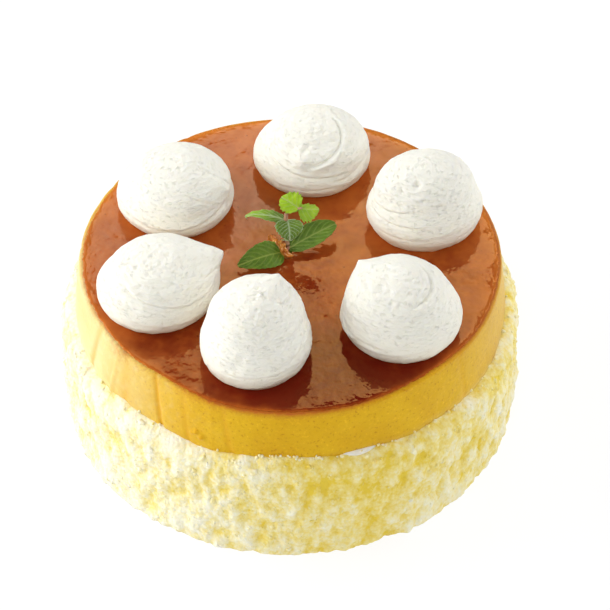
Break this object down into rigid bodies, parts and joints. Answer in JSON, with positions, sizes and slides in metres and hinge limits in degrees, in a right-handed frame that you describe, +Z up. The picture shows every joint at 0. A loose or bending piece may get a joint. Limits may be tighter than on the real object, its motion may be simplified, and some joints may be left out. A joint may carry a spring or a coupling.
{
  "type": "custard flan cake",
  "caption": "Round uncut cake: crumb-coated sponge base, thin cream bed, custard flan layer with caramel top, ring of piped cream dollops and a mint sprig.",
  "frame": {"origin": "centre of the cake's round underside, on the surface it stands on", "axes": "+Z up through the cake's centre, -Y towards the side with the two front dollops, +X to the right seen from there"},
  "size_m": [0.1694, 0.1698, 0.0951],
  "materials": {
    "sponge_crumb": "matte",
    "whipped_cream": "satin",
    "custard": "satin",
    "caramel_jelly": "gloss",
    "mint_leaf": "satin"
  },
  "bodies": {
    "root": {"crumbed_sponge": "sponge_crumb", "cream_bed": "whipped_cream", "custard_layer": "custard", "caramel_layer": "caramel_jelly", "cream_dollop_1": "whipped_cream", "cream_dollop_2": "whipped_cream", "cream_dollop_3": "whipped_cream", "cream_dollop_4": "whipped_cream", "cream_dollop_5": "whipped_cream", "cream_dollop_6": "whipped_cream", "mint_sprig": "mint_leaf"}
  },
  "joints": []
}
